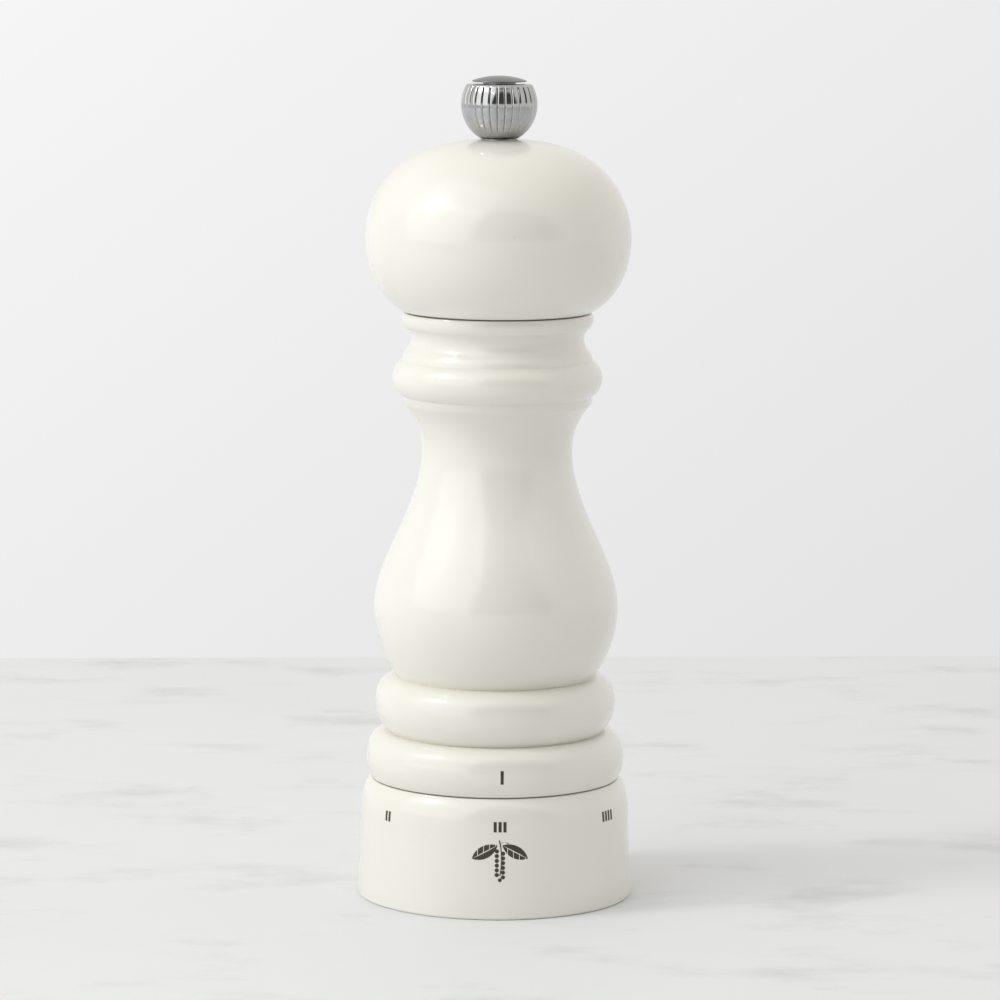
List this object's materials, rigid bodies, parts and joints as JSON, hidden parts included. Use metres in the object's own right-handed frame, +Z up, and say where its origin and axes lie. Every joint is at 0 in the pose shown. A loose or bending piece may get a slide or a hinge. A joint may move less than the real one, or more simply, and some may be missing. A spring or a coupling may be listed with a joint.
{
  "type": "pepper mill",
  "caption": "Turned and lacquered wooden pepper mill with a turning head, a fluted metal knob and a grind adjusting ring at its base.",
  "frame": {"origin": "centre of the base ring's underside, on the surface that the mill stands on", "axes": "+Z up along the turning axis, -Y the front, where the grind setting is read, +X to the right seen from the front"},
  "size_m": [0.06, 0.0598, 0.178],
  "materials": {
    "lacquered_wood": "turned hardwood under ivory gloss lacquer, bare wood inside",
    "chrome": "polished chrome plate",
    "brass": "turned brass",
    "mechanism_plastic": "moulded black plastic with a fine matt texture",
    "bearing_plastic": "natural acetal",
    "hardened_steel": "case-hardened steel, dark grey, brightened on the tooth edges",
    "bright_steel": "drawn and plated steel"
  },
  "bodies": {
    "mill_body": {"body_shell": "lacquered_wood", "grinder_housing": "mechanism_plastic", "housing_screws": "bright_steel", "bearing_bridge": "bright_steel", "bearing_bush": "bearing_plastic", "retaining_ring": "bright_steel", "detent_ball": "bright_steel", "detent_spring": "bright_steel"},
    "adjusting_ring": {"base_ring": "lacquered_wood", "adjuster_nut": "mechanism_plastic"},
    "stator": {"stator_carrier": "mechanism_plastic", "stator_ring": "hardened_steel"},
    "shaft": {"drive_shaft": "bright_steel", "rotor": "hardened_steel", "lock_washer": "bright_steel", "rotor_nut": "bright_steel", "thrust_washer": "bearing_plastic", "grinder_spring": "bright_steel", "spring_seat": "bright_steel"},
    "head": {"head_shell": "lacquered_wood", "drive_plate": "bright_steel", "plate_screws": "bright_steel"},
    "washer": {"knob_washer": "bright_steel"},
    "knob": {"knob_shell": "chrome", "knob_insert": "brass", "knob_cap": "chrome"}
  },
  "joints": [
    {"name": "head_turn", "type": "hinge", "parent": "mill_body", "child": "shaft", "pos_m": [0, 0, 0.1273], "axis": [0, 0, 1], "continuous": true},
    {"name": "head_lift", "type": "slide", "parent": "shaft", "child": "head", "axis": [0, 0, 1], "range_m": [0, 0.06]},
    {"name": "knob_lift", "type": "slide", "parent": "head", "child": "washer", "axis": [0, 0, 1], "range_m": [0, 0.0064]},
    {"name": "knob_turn", "type": "hinge", "parent": "washer", "child": "knob", "pos_m": [0, 0, 0.17], "axis": [0, 0, 1], "range_deg": [0, 2880]},
    {"name": "grind_adjust", "type": "hinge", "parent": "mill_body", "child": "adjusting_ring", "pos_m": [0, 0, 0.0129], "axis": [0, 0, 1], "range_deg": [-162, 108]},
    {"name": "stator_lift", "type": "slide", "parent": "mill_body", "child": "stator", "axis": [0, 0, 1], "range_m": [-0.0006, 0.0009]}
  ],
  "couplings": [
    {"joint": "knob_turn", "follows": "knob_lift", "rad_per_m": 7854},
    {"joint": "grind_adjust", "follows": "stator_lift", "rad_per_m": -3141.6}
  ]
}
